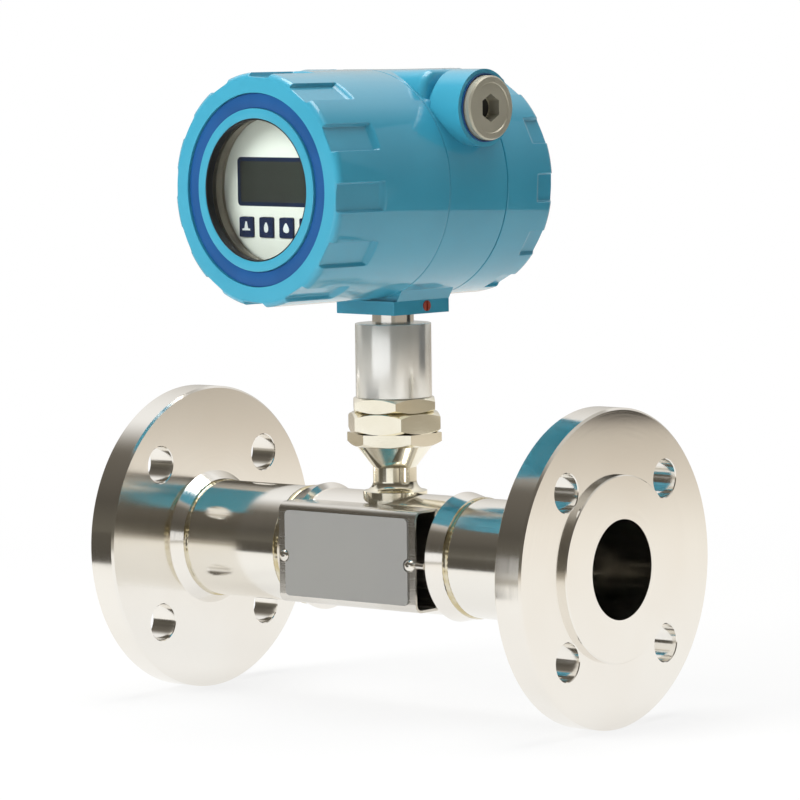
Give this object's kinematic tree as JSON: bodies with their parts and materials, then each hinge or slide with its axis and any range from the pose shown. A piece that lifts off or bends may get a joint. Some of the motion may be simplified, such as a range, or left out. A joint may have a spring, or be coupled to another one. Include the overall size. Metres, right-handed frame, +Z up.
{
  "type": "turbine flow meter",
  "caption": "Flanged stainless turbine flow meter with a vaned rotor in the bore, a pickup stem and a round blue display head with screwed covers, keys and cable entries.",
  "frame": {"origin": "centre of the inlet sealing face, on the pipe axis", "axes": "+X with the flow along the pipe axis, +Z up along the stem, the display looks towards -Y"},
  "size_m": [0.268, 0.1707, 0.3066],
  "materials": {
    "stainless_turned": "turned and polished stainless steel",
    "stainless_tube": "polished stainless tube",
    "stainless_sheet": "bent stainless sheet",
    "plate_metal": "plain matt plate",
    "stainless_fastener": "stainless fastener",
    "nickel_fitting": "bright nickel-plated fitting",
    "stainless_inner": "machined stainless steel",
    "rotor_steel": "magnetic stainless steel",
    "carbide": "hard carbide",
    "pickup_shell": "threaded pickup shell",
    "housing_paint": "sky-blue paint on die-cast aluminium",
    "ring_paint": "royal-blue paint",
    "window_glass": "clear toughened glass",
    "black_rubber": "black nitrile rubber",
    "blue_rubber": "dark blue rubber",
    "retainer_metal": "anodised aluminium",
    "bronze_anodised": "grey-bronze anodised aluminium",
    "cream_plastic": "cream plastic film on plate",
    "display_glass": "dark display glass",
    "navy_key": "navy key caps",
    "switch_plastic": "black switch bodies",
    "circuit_board": "green circuit board",
    "grey_nylon": "grey nylon",
    "brass": "brass"
  },
  "bodies": {
    "meter_body": {"inlet_flange": "stainless_turned", "outlet_flange": "stainless_turned", "centre_body": "stainless_turned", "inlet_pipe": "stainless_tube", "outlet_pipe": "stainless_tube", "stem_sleeve": "stainless_tube", "sleeve_ring": "stainless_tube", "nameplate_bracket": "stainless_sheet", "nameplate": "plate_metal", "nameplate_screws": "stainless_fastener", "pickup_boss": "nickel_fitting", "union_nut": "nickel_fitting", "stem_collar": "nickel_fitting", "inlet_straightener": "stainless_inner", "outlet_straightener": "stainless_inner", "inlet_retaining_ring": "stainless_inner", "outlet_retaining_ring": "stainless_inner", "neck_nipple": "stainless_inner", "inlet_bush": "carbide", "outlet_bush": "carbide", "pickup_coil": "pickup_shell"},
    "rotor": {"rotor": "rotor_steel", "rotor_shaft": "carbide"},
    "head": {"housing_body": "housing_paint", "lock_screw": "stainless_fastener", "conduit_plug": "nickel_fitting", "plug_seal": "blue_rubber", "board_standoffs": "brass", "main_board": "circuit_board", "display_standoffs": "brass", "display_housing": "bronze_anodised", "display_board": "circuit_board", "lcd_module": "display_glass", "key_switches": "switch_plastic", "display_plate": "cream_plastic", "terminal_block": "grey_nylon", "terminal_screws": "brass"},
    "front_seal": {"front_cover_seal": "black_rubber"},
    "front_cover": {"front_cover": "housing_paint", "window_gasket": "black_rubber", "window_glass": "window_glass", "glass_retaining_ring": "retainer_metal", "window_ring": "ring_paint"},
    "rear_seal": {"rear_cover_seal": "black_rubber"},
    "rear_cover": {"rear_cover": "housing_paint"},
    "key_1": {"key_1": "navy_key"},
    "key_2": {"key_2": "navy_key"},
    "key_3": {"key_3": "navy_key"},
    "key_4": {"key_4": "navy_key"}
  },
  "joints": [
    {"name": "rotor_spin", "type": "hinge", "parent": "meter_body", "child": "rotor", "pos_m": [0.134, 0, 0], "axis": [1, 0, 0], "continuous": true},
    {"name": "head_swivel", "type": "hinge", "parent": "meter_body", "child": "head", "pos_m": [0.134, 0, 0], "axis": [0, 0, 1], "range_deg": [-175, 175]},
    {"name": "front_cover_travel", "type": "slide", "parent": "head", "child": "front_seal", "axis": [-0.0872, -0.9962, 0], "range_m": [0, 0.012]},
    {"name": "front_cover_turn", "type": "hinge", "parent": "front_seal", "child": "front_cover", "pos_m": [0.134, 0, 0.177], "axis": [-0.0872, -0.9962, 0], "range_deg": [0, 2880]},
    {"name": "rear_cover_travel", "type": "slide", "parent": "head", "child": "rear_seal", "axis": [0.0872, 0.9962, 0], "range_m": [0, 0.012]},
    {"name": "rear_cover_turn", "type": "hinge", "parent": "rear_seal", "child": "rear_cover", "pos_m": [0.134, 0, 0.177], "axis": [0.0872, 0.9962, 0], "range_deg": [0, 2880]},
    {"name": "key_1_press", "type": "slide", "parent": "head", "child": "key_1", "axis": [0.0872, 0.9962, 0], "range_m": [0, 0.0006], "stiffness_N_per_m": 400, "springref_m": -0.001},
    {"name": "key_2_press", "type": "slide", "parent": "head", "child": "key_2", "axis": [0.0872, 0.9962, 0], "range_m": [0, 0.0006], "stiffness_N_per_m": 400, "springref_m": -0.001},
    {"name": "key_3_press", "type": "slide", "parent": "head", "child": "key_3", "axis": [0.0872, 0.9962, 0], "range_m": [0, 0.0006], "stiffness_N_per_m": 400, "springref_m": -0.001},
    {"name": "key_4_press", "type": "slide", "parent": "head", "child": "key_4", "axis": [0.0872, 0.9962, 0], "range_m": [0, 0.0006], "stiffness_N_per_m": 400, "springref_m": -0.001}
  ],
  "couplings": [
    {"joint": "front_cover_travel", "follows": "front_cover_turn", "m_per_rad": 0.00023873},
    {"joint": "rear_cover_travel", "follows": "rear_cover_turn", "m_per_rad": 0.00023873}
  ]
}
